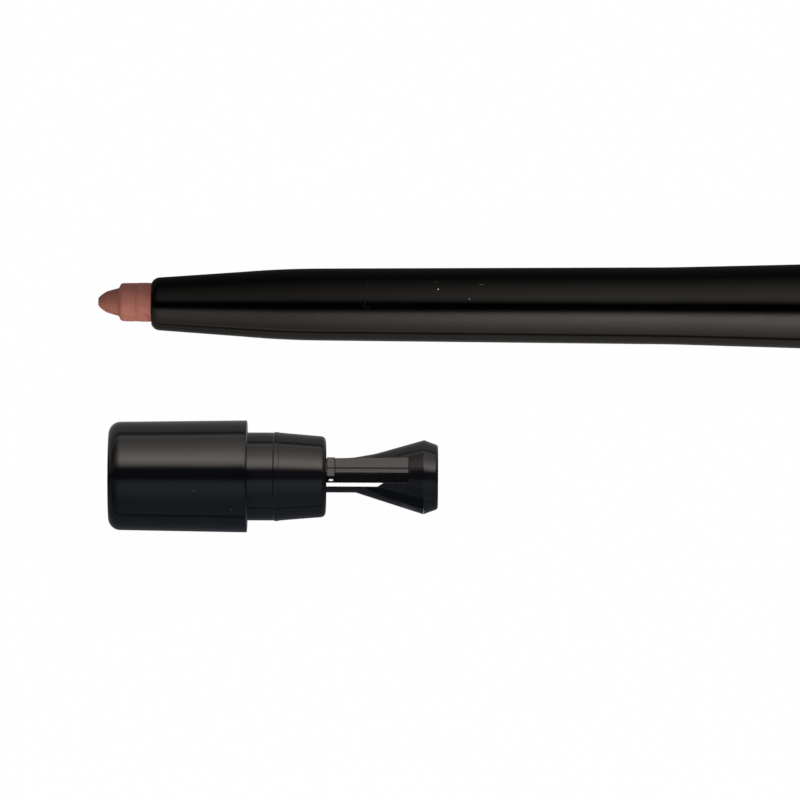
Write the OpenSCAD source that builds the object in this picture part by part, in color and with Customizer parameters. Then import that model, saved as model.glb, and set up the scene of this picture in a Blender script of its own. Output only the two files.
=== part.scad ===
// Retractable gel lip pencil with a pull-out sharpener plug.
// The pencil lies on its side with its lead wound out, and the plug lies beside it.
// Twisting the tail sleeve against the barrel drives the lead out and back in.

/* [Barrel outline] */
// Length from the mouth to the tail rim
barrel_len = 112; // [110:0.5:118]
// Where the nose cone runs out into the shaft
nose_len = 13.1; // [11:0.1:16]
// Where the shaft ends and the tail flare begins
shaft_end = 49.5; // [46:0.5:49.5]
// Diameter of the nose at the mouth
nose_d = 4.96; // [4.8:0.02:5.2]
// Diameter of the shaft behind the nose cone
shaft_front_d = 6.83; // [6.6:0.01:7.2]
// Diameter of the shaft where the flare begins
shaft_rear_d = 7.35; // [7.2:0.05:7.8]
// Diameter of the tail rim, which the plug's cap continues
tail_d = 10.67; // [10.5:0.05:11.6]
// Radius of the rounded lip round the mouth
lip_r = 0.9; // [0.5:0.02:1]
// Radius of the blend from the nose cone to the shaft
nose_blend_r = 95; // [60:5:110]
// Radius of the blend from the shaft to the flare
flare_blend_r = 150; // [80:10:250]
// Length of the turning sleeve, from the seam to the tail rim
sleeve_len = 42; // [38:0.5:46]
// Gap between the barrel and the turning sleeve
seam_gap = 0.15; // [0.1:0.05:0.3]
// Chamfer along the edges of the seam and of the tail rim
edge_chamfer = 0.15; // [0.05:0.05:0.25]

/* [Lead] */
// Diameter of the gel lead
lead_d = 3.56; // [3.5:0.02:3.6]
// Length of the lead, tip to tail
lead_len = 35; // [34:0.5:36]
// How far the lead stands out of the mouth
lead_out = 5.1; // [4.5:0.1:5.5]
// Length of the sharpened tip
tip_len = 2.05; // [1.6:0.05:2.2]
// Diameter of the sharpened tip where it meets the shoulder
tip_base_d = 2.56; // [2.44:0.02:2.64]
// Diameter of the blunt end of the tip
tip_flat_d = 0.5; // [0.4:0.1:1]
// Radius of the curve along the tip
tip_curve_r = 3; // [2.6:0.1:6]
// Length of the shoulder behind the tip
shoulder_len = 0.25; // [0.2:0.05:0.5]
// Diameter of the worn shoulder
shoulder_d = 3.36; // [3.2:0.02:3.44]
// Length over which the shoulder is worn
worn_len = 1.1; // [0.8:0.1:1.6]
// Degrees that the lead leans over in the mouth's gap, towards the side away from the plug
lead_lean = 0.3; // [0:0.05:0.3]

/* [Feed] */
// Travel of the lead in one turn of the sleeve
pitch = 5.6; // [5.2:0.1:5.6]
// Turns that wind the lead back in from where it stands
turns_back = 1; // [1:0.05:1.1]
// Radial gap between the lead and the mouth's bore
lead_gap = 0.2; // [0.19:0.01:0.22]
// Radial running gap between parts that turn or slide in each other
run_gap = 0.1; // [0.08:0.01:0.12]
// Gap left at each end of a travel
end_gap = 0.3; // [0.2:0.05:0.4]
// Length of the mouth's guiding bore
mouth_len = 4; // [3.5:0.1:4.5]
// Wall of the cup that grips the lead
cup_wall = 0.32; // [0.25:0.01:0.34]
// Length of the lead's tail that the cup grips
grip_len = 3.2; // [2.8:0.1:4]
// Thickness of the cup's floor
cup_floor = 1.2; // [1:0.1:1.6]
// Length of the boss behind the cup's floor
boss_len = 2.9; // [2.5:0.1:3.4]
// Diameter of the push rod
rod_d = 2.6; // [2.4:0.05:2.6]
// Thickness of the rod's crossed webs
rod_web = 0.8; // [0.6:0.05:1]
// Diameter of the rod's stub in the cup's boss
stub_d = 1.8; // [1.4:0.1:2]
// Diameter of the two lugs on the rod
lug_d = 0.8; // [0.7:0.02:0.84]
// Gap between a lug and the walls on either side of it
lug_gap = 0.08; // [0.06:0.01:0.1]
// Wall of the slotted guide tube
guide_wall = 0.5; // [0.4:0.02:0.52]
// Length of the guide tube's head, which is pressed into the barrel
head_len = 5; // [4:0.1:5.4]
// Depth of the spiral groove
groove_depth = 0.5; // [0.4:0.02:0.52]
// Wall of the spiral sleeve outside its groove
spiral_wall = 0.42; // [0.36:0.02:0.46]
// Extra radius of the spiral sleeve where the turning sleeve holds it
spiral_step = 0.45; // [0.3:0.05:0.5]
// Height of the ribs that keep pressed parts from turning
key_h = 0.25; // [0.15:0.05:0.3]
// Width of those ribs
key_w = 0.9; // [0.6:0.1:1.2]
// Thickness of the ring that holds the spiral sleeve on the guide tube
clip_t = 0.5; // [0.4:0.05:0.6]
// Section of the seal ring between the guide tube and the spiral sleeve
drag_ring_t = 0.64; // [0.5:0.02:0.66]
// Section of the seal ring round the cup's boss
piston_ring_t = 0.4; // [0.3:0.02:0.44]

/* [Sharpener plug] */
// Length of the end cap
cap_len = 13.2; // [12:0.1:15]
// Diameter of the cap at its closed end
cap_end_d = 10.29; // [10.15:0.02:10.6]
// Radius of the cap's rounded end
cap_corner_r = 1.15; // [0.6:0.05:1.4]
// Wall of the cap at its rim
cap_wall = 1.3; // [1.1:0.05:1.4]
// Diameter of the collar that plugs into the tail
collar_d = 8.38; // [8.2:0.02:8.6]
// Length of the collar outside the cap
collar_len = 7.5; // [7:0.1:8]
// Length of the collar's spigot inside the cap
spigot_len = 6.2; // [5:0.1:8]
// Diameter of the collar's tapered front
collar_front_d = 7.66; // [7.4:0.02:7.8]
// Where the taper starts, from the cap's rim
collar_taper_at = 3.15; // [2.9:0.05:3.4]
// Height of the collar's snap bead
bead_h = 0.05; // [0.03:0.01:0.08]
// Radial gap between the collar and the tail's socket
socket_gap = 0.03; // [0.02:0.01:0.05]
// Gap between the sharpener's mouth and the socket's floor
socket_floor_gap = 0.8; // [0.5:0.1:0.9]
// Thickness of the partition between the socket and the feed
partition_t = 1.2; // [1:0.1:1.2]

/* [Sharpener] */
// Length of the sharpener outside the collar
sharpener_len = 10.66; // [10:0.1:10.7]
// Length of the scraping channel, from the collar to the end of its pocket
channel_len = 7.9; // [7.7:0.1:8.1]
// Width of the scraping channel, across its flat sides
channel_w = 3.56; // [3.4:0.02:3.6]
// Height of the channel above its axis
channel_top = 1.77; // [1.7:0.01:1.85]
// How much higher the channel is where it ends in the trumpet
channel_draft = 0.16; // [0:0.02:0.2]
// Depth of the channel's scraping edges below its axis
scraper_drop = 0.56; // [0.5:0.02:0.6]
// Length of the gap under the scraping edges
slit_len = 5.5; // [5.2:0.1:5.6]
// Width of that gap
slit_w = 0.36; // [0.3:0.02:0.44]
// Length of the trumpet's straight tube
tube_len = 2.3; // [2:0.1:2.6]
// Length of the first, gentle flare
flare_len = 2.5; // [2.2:0.1:2.8]
// Diameter of the trumpet where that flare ends
flare_d = 4.44; // [4.3:0.02:4.6]
// Largest diameter of the trumpet
trumpet_d = 7.06; // [6.9:0.02:7.1]
// Diameter of the sharpener's mouth, outside
mouth_rim_d = 6.2; // [6:0.05:6.4]
// Length of the rim behind the mouth
rim_len = 1.3; // [1.1:0.05:1.5]
// Wall of the mouth
mouth_wall = 0.34; // [0.3:0.02:0.4]
// Length of the lower bar's straight part
bar_len = 2.85; // [2.6:0.05:3.1]
// Depth of the lower bar's underside below the axis
bar_bottom = 1.5; // [1.44:0.02:1.6]
// How far the lower bar stands out past the trumpet's edge
bar_proud = 0.04; // [0:0.01:0.08]
// Thickness of the lower bar under the slit
bar_t = 2.8; // [2.6:0.05:3]
// Thickness of the lower bar at the rim
bar_rim_t = 3.7; // [3.4:0.05:3.9]

/* [Layout] */
// Distance between the pencil's axis and the plug's
axis_spacing = 16.4; // [14:0.1:24]
// How far the plug's closed end lies in front of the mouth
plug_ahead = 3.95; // [0:0.05:5]

/* [Hidden] */

$fn = 96;
eps = 0.01;
arc_steps = 10;
helix_steps = 18;
starts = 2;
tiny = 0.02;

black = "#17171a";
smoke = "#2b2726";
rose = "#a86b5e";
natural = "#e9e6dc";
steel = "#b9bcc0";
rubber = "#3a3a3c";

// The barrel's outline: radius and station of each corner, mouth to tail
outline = [
    [nose_d / 2, 0],
    [shaft_front_d / 2, nose_len],
    [shaft_rear_d / 2, shaft_end],
    [tail_d / 2, barrel_len]
];

function barrel_r(at) = lookup(at, [for (p = outline) [p.y, p.x]]);

// Bores and stations along the pencil, measured from the mouth
mouth_r = lead_d / 2 + lead_gap;
cup_r = lead_d / 2 + cup_wall;
chamber_r = cup_r + run_gap;
seam_at = barrel_len - sleeve_len;
lead_tail = lead_len - lead_out;
cup_at = lead_tail - grip_len;
boss_at = lead_tail + cup_floor;
rod_at = boss_at + boss_len;
travel_back = pitch * turns_back;
travel_out = cup_at - mouth_len - end_gap;
turns_out = travel_out / pitch;
head_at = rod_at + travel_back + end_gap;
guide_bore_r = rod_d / 2 + run_gap;
guide_r = guide_bore_r + guide_wall;
spiral_bore_r = guide_r + run_gap;
groove_r = spiral_bore_r + groove_depth;
spiral_r = groove_r + spiral_wall;
spiral_tail_r = spiral_r + spiral_step;
barrel_bore_r = spiral_r + run_gap;

socket_floor = barrel_len - collar_len - sharpener_len - socket_floor_gap;
cavity_end = socket_floor - partition_t;
guide_end = cavity_end - end_gap;
clip_at = guide_end - clip_t - tiny * 10;
spiral_end = clip_at - run_gap;
spiral_at = head_at + head_len + run_gap;
lug_at = clip_at - travel_back - lug_d / 2 - end_gap;
slot_at = lug_at - travel_out - lug_d / 2 - end_gap;
lug_r = groove_r - lug_gap;

drag_ring_at = spiral_at + 1.3;
drag_ring_r = guide_r + drag_ring_t / 4;
drag_seat_r = drag_ring_r + drag_ring_t / 2 + run_gap / 2;
piston_ring_at = boss_at + boss_len / 2;
piston_ring_r = cup_r - piston_ring_t / 2 + tiny * 2;

// Stations along the plug, measured from the cap's closed end
cap_bore_r = tail_d / 2 - cap_wall;
spigot_r = cap_bore_r - tiny;
collar_front = cap_len + collar_len;
sharpener_front = collar_front + sharpener_len;
collar_wall = 0.8;
collar_face_t = 1.2;
cap_edge = 0.08;
bead_at = cap_len + collar_taper_at - 0.55;
bead_len = 0.4;
bead_ramp = 0.06;
collar_front_r = 0.5;
neck_r = 1.88;
flange_r = 2.6;
flange_t = 0.9;
socket_r = collar_d / 2 + socket_gap;
socket_len = collar_len + 0.2;
socket_deep_r = trumpet_d / 2 + bar_proud + 0.15;

// The sharpener's own stations and bores
rim_at = sharpener_front - rim_len;
land_end = collar_front + channel_len;
trumpet_at = collar_front + tube_len;
trumpet_bend = [flare_d / 2, trumpet_at + flare_len];
trumpet_blend_r = 10;
bar_flare_at = collar_front + bar_len;
slit_end = collar_front + slit_len;
slit_lean = 0.56;
bar_top = scraper_drop + slit_w;
bar_top_end = 1.98;
bar_top_at = slit_end - slit_lean;
bar_foot = 2.8;
lap = 0.1;
notch_w = 0.05;
land_corner = 0.43;
land_top_w = 2.24;
neck_from = collar_front + 0.14;
neck_to = collar_front + 0.84;
neck_gap = 0.08;
neck_proud = 0.08;
neck_corner = 0.1;
line_y = 0.83;
line_w = 0.1;
line_depth = 0.06;
forming_r = tip_base_d / 2 + tiny;
passage_r = 1.05;
stop_wall = 0.3;
stop_at = land_end + stop_wall;
stop_r = lead_d / 2 + 0.06;

// The pencil rests on its tail rim and on the blend behind its nose
rest_on = [barrel_len - edge_chamfer, barrel_r(barrel_len - edge_chamfer)];
blend_centre = corner_centre(outline[0], outline[1], outline[2], nose_blend_r);
to_rest = rest_on - [blend_centre.y, blend_centre.x];
rest_tilt = atan2(to_rest.y, to_rest.x) - asin(nose_blend_r / norm(to_rest));
nose_z = rest_on.y * cos(rest_tilt) - rest_on.x * sin(rest_tilt);

// The plug rests along the side of its cap
plug_tilt = atan((tail_d - cap_end_d) / 2 / cap_len);
plug_z = tail_d / 2 * cos(plug_tilt) - cap_len * sin(plug_tilt);

// The row's origin is under the middle of the whole lay-out
front_x = -lead_out * cos(rest_tilt) - tip_flat_d / 2 * sin(rest_tilt);
back_x = barrel_len * cos(rest_tilt) + (tail_d / 2 - edge_chamfer) * sin(rest_tilt);
nose_x = -(front_x + back_x) / 2;
plug_x = nose_x - plug_ahead;

function unit(v) = v / norm(v);
function turned_by(v, a) = [v.x * cos(a) - v.y * sin(a), v.x * sin(a) + v.y * cos(a)];

// Centre of an arc of radius r that is tangent to both sides of the corner a, p, b
function corner_centre(a, p, b, r) =
    let (u = unit(a - p), v = unit(b - p), half = acos(u * v) / 2)
    p + unit(u + v) * r / sin(half);

// Points along that arc, from the side of a to the side of b
function rounded(a, p, b, r) =
    let (
        u = unit(a - p),
        v = unit(b - p),
        half = acos(u * v) / 2,
        centre = corner_centre(a, p, b, r),
        from = p + u * r / tan(half) - centre,
        to = p + v * r / tan(half) - centre,
        turn = (180 - 2 * half) * sign(cross(from, to))
    )
    [for (i = [0 : arc_steps]) centre + turned_by(from, turn * i / arc_steps)];

// Points of an arc of radius r from a to b, bulging to the right of that way
function bulged(a, b, r) =
    let (
        half = asin(norm(b - a) / 2 / r),
        middle = (a + b) / 2,
        centre = middle + turned_by(unit(b - a), 90) * r * cos(half),
        from = a - centre
    )
    [for (i = [0 : arc_steps]) centre + turned_by(from, 2 * half * i / arc_steps)];

module along_pencil() {
    translate([nose_x, axis_spacing / 2, nose_z])
        rotate([0, 90 - rest_tilt, 0])
            children();
}

module along_plug() {
    translate([plug_x, -axis_spacing / 2, plug_z])
        rotate([0, 90 - plug_tilt, 0])
            children();
}

// A turned solid from an outline of radius and station
module turned(points) {
    rotate_extrude()
        polygon(points);
}

// A round bar or bore between two stations
module bar(from, to, r) {
    translate([0, 0, from])
        cylinder(h = to - from, r = r);
}

// A cone between two stations
module taper(from, to, r1, r2) {
    translate([0, 0, from])
        cylinder(h = to - from, r1 = r1, r2 = r2);
}

// A ring of round section
module o_ring(at, r, section) {
    translate([0, 0, at])
        rotate_extrude()
            translate([r, 0])
                circle(d = section, $fn = 32);
}

// Four ribs round a press fit, or with a gap the slots that take them
module keys(from, to, r, gap = 0) {
    for (turn = [0 : 90 : 270])
        rotate([0, 0, turn + 45])
            translate([r - key_h, -key_w / 2 - gap, from])
                cube([2 * key_h + gap, key_w + 2 * gap, to - from]);
}

// The polished barrel that is held in the hand, with the lead's chamber inside
module front_barrel() {
    seam_r = barrel_r(seam_at);
    color(black)
        along_pencil()
            difference() {
                turned(concat(
                    [[0, 0]],
                    rounded([0, 0], outline[0], outline[1], lip_r),
                    rounded(outline[0], outline[1], outline[2], nose_blend_r),
                    rounded(outline[1], outline[2], outline[3], flare_blend_r),
                    [
                        [barrel_r(seam_at - edge_chamfer), seam_at - edge_chamfer],
                        [seam_r - edge_chamfer, seam_at],
                        [0, seam_at]
                    ]
                ));
                bar(-eps, mouth_len + eps, mouth_r);
                bar(mouth_len, head_at + eps, chamber_r);
                bar(head_at, seam_at + eps, barrel_bore_r);
                keys(head_at, head_at + head_len + end_gap, barrel_bore_r, tiny);
            }
}

// The slotted tube that keeps the push rod from turning
module guide_tube() {
    slot_w = lug_d + 2 * lug_gap;
    color(natural)
        along_pencil()
            difference() {
                union() {
                    bar(head_at, head_at + head_len, barrel_bore_r);
                    bar(head_at, guide_end, guide_r);
                    keys(head_at, head_at + head_len, barrel_bore_r);
                }
                bar(head_at - eps, guide_end + eps, guide_bore_r);
                translate([-guide_r * 2, -slot_w / 2, slot_at])
                    cube([guide_r * 4, slot_w, guide_end - slot_at + eps]);
                ring_groove(drag_ring_at, drag_ring_t + 2 * tiny, guide_r - drag_ring_t / 4 - tiny);
                ring_groove(clip_at + clip_t / 2, clip_t + 2 * tiny, guide_r - guide_wall / 2);
            }
}

// A square groove round the guide tube, down to radius r
module ring_groove(at, width, r) {
    translate([0, 0, at - width / 2])
        difference() {
            cylinder(h = width, r = guide_r + eps);
            translate([0, 0, -eps])
                cylinder(h = width + 2 * eps, r = r);
        }
}

// The rubber ring that gives the twist its even drag
module drag_ring() {
    color(rubber)
        along_pencil()
            o_ring(drag_ring_at, drag_ring_r, drag_ring_t);
}

// The split steel ring that holds the spiral sleeve on the guide tube
module clip_ring() {
    split_w = 1.2;
    color(steel)
        along_pencil()
            difference() {
                bar(clip_at, clip_at + clip_t, spiral_bore_r + groove_depth);
                bar(clip_at - eps, clip_at + clip_t + eps, guide_r - guide_wall / 2 + tiny);
                translate([0, -split_w / 2, clip_at - eps])
                    cube([groove_r * 2, split_w, clip_t + 2 * eps]);
            }
}

// The gel lead, with the blunt bullet that the sharpener leaves and a worn shoulder
module gel_lead() {
    tip_at = -lead_out;
    shoulder_at = tip_at + tip_len;
    tail_at = lead_tail - tiny;
    pivot = cup_at + grip_len / 2;
    color(rose)
        along_pencil()
            translate([0, 0, pivot])
                rotate([lead_lean, 0, 0])
                    translate([0, 0, -pivot])
                        turned(concat(
                            [[0, tip_at]],
                            bulged([tip_flat_d / 2, tip_at], [tip_base_d / 2, shoulder_at], tip_curve_r),
                            rounded(
                                [tip_base_d / 2, shoulder_at],
                                [shoulder_d / 2, shoulder_at + shoulder_len],
                                [lead_d / 2, shoulder_at + worn_len],
                                shoulder_len * 0.8
                            ),
                            [[lead_d / 2, shoulder_at + worn_len], [lead_d / 2, tail_at], [0, tail_at]]
                        ));
}

// The cup that grips the lead's tail with four fingers
module lead_cup() {
    finger_slit = 0.4;
    color(natural)
        along_pencil()
            difference() {
                bar(cup_at, rod_at, cup_r);
                bar(cup_at - eps, lead_tail, lead_d / 2 + tiny);
                taper(cup_at - eps, cup_at + cup_wall, cup_r - tiny * 2, lead_d / 2);
                for (turn = [0, 90])
                    rotate([0, 0, turn])
                        translate([-cup_r * 2, -finger_slit / 2, cup_at - eps])
                            cube([cup_r * 4, finger_slit, lead_tail - cup_at - end_gap]);
                bar(boss_at, rod_at + eps, stub_d / 2);
                o_ring_seat();
            }
}

// The square groove that seats the piston ring
module o_ring_seat() {
    half = piston_ring_t / 2 + tiny;
    translate([0, 0, piston_ring_at - half])
        difference() {
            cylinder(h = 2 * half, r = cup_r + eps);
            translate([0, 0, -eps])
                cylinder(h = 2 * half + 2 * eps, r = piston_ring_r - half);
        }
}

// The rubber ring that seals the lead's chamber behind the cup
module piston_ring() {
    color(rubber)
        along_pencil()
            o_ring(piston_ring_at, piston_ring_r, piston_ring_t);
}

// The moulded rod of crossed webs and bearing discs, with two lugs near its tail
module push_rod() {
    rod_end = lug_at + lug_d;
    disc_len = 1.6;
    disc_count = 5;
    disc_step = (rod_end - disc_len - rod_at) / (disc_count - 1);
    color(natural)
        along_pencil()
            union() {
                bar(boss_at + tiny, rod_at + eps, stub_d / 2);
                intersection() {
                    bar(rod_at, rod_end, rod_d / 2);
                    for (turn = [0, 90])
                        rotate([0, 0, turn])
                            translate([-rod_d, -rod_web / 2, rod_at])
                                cube([2 * rod_d, rod_web, rod_end - rod_at]);
                }
                for (i = [0 : disc_count - 1])
                    bar(rod_at + i * disc_step, rod_at + i * disc_step + disc_len, rod_d / 2);
                translate([0, 0, lug_at])
                    rotate([0, 90, 0])
                        cylinder(h = 2 * lug_r, d = lug_d, center = true, $fn = 32);
            }
}

// The tail sleeve that is twisted, with the plug's socket behind a partition
module turning_sleeve() {
    front = seam_at + seam_gap;
    color(black)
        along_pencil()
            difference() {
                turned([
                    [0, front],
                    [barrel_r(front) - edge_chamfer, front],
                    [barrel_r(front + edge_chamfer), front + edge_chamfer],
                    [rest_on.y, rest_on.x],
                    [rest_on.y - edge_chamfer, barrel_len],
                    [0, barrel_len]
                ]);
                bar(front - eps, cavity_end, spiral_tail_r);
                keys(front - eps, cavity_end, spiral_tail_r, tiny);
                bar(barrel_len - socket_len, barrel_len + eps, socket_r);
                bar(socket_floor, barrel_len - socket_len + eps, socket_deep_r);
                bar(
                    barrel_len - (bead_at - cap_len) - 2 * bead_len,
                    barrel_len - (bead_at - cap_len) + bead_len,
                    socket_r + bead_h
                );
            }
}

// One spiral groove as a closed helical bar, through the lug's place at the given turn
module groove_cutter(turn) {
    width = (lug_d + 2 * lug_gap) / cos(atan(pitch / (2 * PI * (spiral_bore_r + groove_r) / 2)));
    from = slot_at;
    to = spiral_end + width;
    rings = ceil((to - from) / pitch * helix_steps);
    corners = [
        [spiral_bore_r - 2 * run_gap, -width / 2],
        [groove_r, -width / 2],
        [groove_r, width / 2],
        [spiral_bore_r - 2 * run_gap, width / 2]
    ];
    points = [
        for (i = [0 : rings])
            let (at = from + (to - from) * i / rings, a = turn - 360 * (at - lug_at) / pitch)
            for (c = corners)
                [c.x * cos(a), c.x * sin(a), at + c.y]
    ];
    sides = [
        for (i = [0 : rings - 1])
            for (k = [0 : 3])
                let (a = 4 * i + k, b = 4 * i + (k + 1) % 4)
                for (f = [[a, a + 4, b], [b, a + 4, b + 4]])
                    f
    ];
    last = 4 * rings;
    ends = [[0, 1, 2], [0, 2, 3], [last, last + 2, last + 1], [last, last + 3, last + 2]];
    polyhedron(points, concat(sides, ends));
}

// The sleeve whose two spiral grooves drive the lugs
module spiral_sleeve() {
    front = seam_at + seam_gap;
    color(natural)
        along_pencil()
            difference() {
                union() {
                    bar(spiral_at, spiral_end, spiral_r);
                    bar(front, spiral_end, spiral_tail_r);
                    keys(front, spiral_end, spiral_tail_r);
                }
                bar(spiral_at - eps, spiral_end + eps, spiral_bore_r);
                bar(spiral_at - eps, drag_ring_at + drag_ring_t, drag_seat_r);
                for (i = [0 : starts - 1])
                    groove_cutter(i * 360 / starts);
            }
}

// The plug's polished cap, which continues the barrel's outline
module end_cap() {
    end_r = cap_end_d / 2;
    color(black)
        along_plug()
            difference() {
                turned(concat(
                    [[0, 0]],
                    rounded([0, 0], [end_r, 0], [tail_d / 2, cap_len], cap_corner_r),
                    [[tail_d / 2, cap_len - cap_edge], [tail_d / 2 - cap_edge, cap_len], [0, cap_len]]
                ));
                bar(cap_wall, cap_len + eps, cap_bore_r);
            }
}

// The collar that joins cap and sharpener, and plugs into the tail
module plug_collar() {
    side_r = collar_d / 2;
    front_r = collar_front_d / 2;
    color(black)
        along_plug()
            difference() {
                turned(concat(
                    [
                        [0, cap_len - spigot_len],
                        [spigot_r, cap_len - spigot_len],
                        [spigot_r, cap_len],
                        [side_r, cap_len],
                        [side_r, bead_at - 2 * bead_ramp],
                        [side_r - bead_h, bead_at - bead_ramp],
                        [side_r + bead_h, bead_at],
                        [side_r + bead_h, bead_at + bead_len],
                        [side_r, bead_at + bead_len + bead_ramp],
                        [side_r, cap_len + collar_taper_at]
                    ],
                    rounded(
                        [side_r, cap_len + collar_taper_at],
                        [front_r, collar_front],
                        [0, collar_front],
                        collar_front_r
                    ),
                    [[0, collar_front]]
                ));
                bar(cap_len - spigot_len - eps, collar_front - collar_face_t, spigot_r - collar_wall);
                bar(cap_len, collar_front + eps, neck_r);
            }
}

// The trumpet's outline, a straight tube that flares in two slopes, then the rim
function trumpet_points() =
    let (edge = 0.15, from = [channel_top, collar_front], rim = [trumpet_d / 2, rim_at])
    concat(
        [[0, collar_front], from],
        rounded(from, [channel_top, trumpet_at], trumpet_bend, trumpet_blend_r),
        rounded([channel_top, trumpet_at], trumpet_bend, rim, trumpet_blend_r),
        [
            rim,
            [mouth_rim_d / 2, sharpener_front - edge],
            [mouth_rim_d / 2 - edge, sharpener_front],
            [0, sharpener_front]
        ]
    );

// The section of the scraping channel: flat sides, and a bevel up to its flat top
function channel_points(top, corner, grow = 0) = [
    [-channel_w / 2 - grow, -scraper_drop],
    [-channel_w / 2 - grow, corner],
    [-land_top_w / 2 - grow, top],
    [land_top_w / 2 + grow, top],
    [channel_w / 2 + grow, corner],
    [channel_w / 2 + grow, -scraper_drop]
];

// A length of that section
module channel(from, to, top, corner, grow = 0) {
    translate([0, 0, from])
        linear_extrude(height = to - from)
            polygon(channel_points(top, corner, grow));
}

// A prism across the sharpener, from an outline of station and height
module across(points) {
    rotate([0, -90, 0])
        linear_extrude(height = 2 * trumpet_d, center = true)
            polygon(points);
}

// The smoky sharpener: a trumpet mouth, a scraping channel and a bar under its slit
module sharpener() {
    color(smoke)
        along_plug()
            difference() {
                union() {
                    difference() {
                        turned(trumpet_points());
                        trumpet_pockets();
                        under_the_slit();
                    }
                    scraping_channel();
                    lower_bar();
                    bar(collar_front - collar_face_t - flange_t, collar_front - collar_face_t, flange_r);
                    bar(collar_front - collar_face_t - eps, collar_front + tiny, neck_r - tiny);
                }
                sharpener_bores();
                neck_window();
                parting_line();
            }
}

// The neck block, a thin gap, and the channel, which grows a little higher towards the trumpet
module scraping_channel() {
    from = neck_to + neck_gap;
    channel(collar_front + eps, from + eps, channel_top - neck_proud, land_corner, -neck_proud);
    channel(neck_from, neck_to, channel_top + neck_proud, neck_corner, neck_proud);
    intersection() {
        channel(from, land_end + tiny, channel_top + channel_draft, land_corner);
        across([
            [from, -scraper_drop],
            [from, channel_top],
            [land_end + tiny, channel_top + channel_draft],
            [land_end + tiny, -scraper_drop]
        ]);
    }
}

// What is cut away under the scraping edges and under the trumpet, where the bar lies
module under_the_slit() {
    across([
        [collar_front - 1, -2 * trumpet_d],
        [collar_front - 1, -scraper_drop],
        [slit_end, -scraper_drop],
        [bar_top_at, -bar_top],
        [rim_at, -bar_top_end],
        [rim_at, -2 * trumpet_d]
    ]);
}

// The flat-sided bar under the slit, which flares with the trumpet and laps into it and its rim
module lower_bar() {
    intersection() {
        turned([
            [0, collar_front - eps],
            [bar_bottom, collar_front - eps],
            [bar_bottom, bar_flare_at],
            [trumpet_d / 2 + bar_proud, rim_at],
            [trumpet_d / 2 + bar_proud, rim_at + lap],
            [0, rim_at + lap]
        ]);
        across([
            [collar_front - 1, -bar_top],
            [slit_end, -bar_top],
            [rim_at + lap, lap - bar_top_end],
            [rim_at + lap, -bar_foot],
            [rim_at - notch_w, -bar_foot],
            [rim_at - notch_w, -2 * trumpet_d],
            [collar_front - 1, -2 * trumpet_d]
        ]);
        rotate([90, 0, 0])
            linear_extrude(height = 4 * trumpet_d, center = true)
                polygon([
                    [-bar_t / 2, collar_front - 1],
                    [-bar_t / 2, slit_end],
                    [-bar_rim_t / 2, rim_at + lap],
                    [bar_rim_t / 2, rim_at + lap],
                    [bar_t / 2, slit_end],
                    [bar_t / 2, collar_front - 1]
                ]);
    }
}

// The pockets that bare the channel's flat sides within the trumpet
module trumpet_pockets() {
    difference() {
        across([
            [collar_front - 1, -scraper_drop - eps],
            [land_end, -scraper_drop - eps],
            [land_end, channel_top + channel_draft - tiny],
            [collar_front - 1, channel_top - tiny]
        ]);
        translate([0.2 - land_top_w / 2, -trumpet_d, 0])
            cube([land_top_w - 0.4, 2 * trumpet_d, sharpener_front]);
    }
}

// The funnel, the stop for the lead's shoulder, the forming bore and the shavings' passage
module sharpener_bores() {
    tip_at = stop_at - tip_len;
    taper(stop_at, sharpener_front + eps, stop_r, mouth_rim_d / 2 - mouth_wall);
    bar(tip_at + tip_len / 3, stop_at + eps, forming_r);
    taper(tip_at, tip_at + tip_len / 3 + eps, passage_r, forming_r);
    bar(collar_front - collar_face_t - flange_t - eps, tip_at + eps, passage_r);
}

// The small window through the neck
module neck_window() {
    window_len = 0.44;
    window_h = 0.16;
    translate([-trumpet_d, -scraper_drop + 0.17, collar_front + 0.27])
        cube([2 * trumpet_d, window_h, window_len]);
}

// The fine line that the mould's halves leave along the channel and the trumpet
module parting_line() {
    bevel_top = channel_top + channel_draft;
    bevel_r = lookup(line_y, [[land_corner, channel_w / 2], [bevel_top, land_top_w / 2]]) - line_depth;
    cone_r = lookup(land_end, [[trumpet_bend.y, trumpet_bend.x], [rim_at, trumpet_d / 2]]) - line_depth;
    difference() {
        translate([-trumpet_d, line_y - line_w / 2, neck_from])
            cube([2 * trumpet_d, line_w, rim_at - neck_from]);
        translate([-bevel_r, line_y - line_w, neck_from - eps])
            cube([2 * bevel_r, 2 * line_w, land_end - neck_from + eps]);
        turned([
            [0, land_end],
            [cone_r, land_end],
            [trumpet_d / 2 - line_depth, rim_at + eps],
            [0, rim_at + eps]
        ]);
    }
}

front_barrel();
guide_tube();
drag_ring();
clip_ring();
gel_lead();
lead_cup();
piston_ring();
push_rod();
turning_sleeve();
spiral_sleeve();
end_cap();
plug_collar();
sharpener();
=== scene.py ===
"""Dress the gel lip pencil and its sharpener plug, and light them from above as in the photograph."""

import math

import bpy
from mathutils import Matrix, Vector, noise
from mathutils.bvhtree import BVHTree


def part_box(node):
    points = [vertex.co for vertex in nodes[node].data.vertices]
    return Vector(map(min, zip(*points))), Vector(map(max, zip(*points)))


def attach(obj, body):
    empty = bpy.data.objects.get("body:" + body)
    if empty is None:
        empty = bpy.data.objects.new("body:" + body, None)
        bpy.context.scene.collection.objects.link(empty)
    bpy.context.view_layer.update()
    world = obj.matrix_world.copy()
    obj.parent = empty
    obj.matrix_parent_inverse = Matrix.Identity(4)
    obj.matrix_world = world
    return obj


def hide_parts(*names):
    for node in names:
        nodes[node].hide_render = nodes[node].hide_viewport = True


MM = 0.001
# In degrees
HALF_TURN = 180

# The photograph's frame, in pixels, and its scale
PHOTO_SIZE = 800
PIXELS_PER_MM = 10.5
MOUTH_PX = (151, 303.8)

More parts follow.
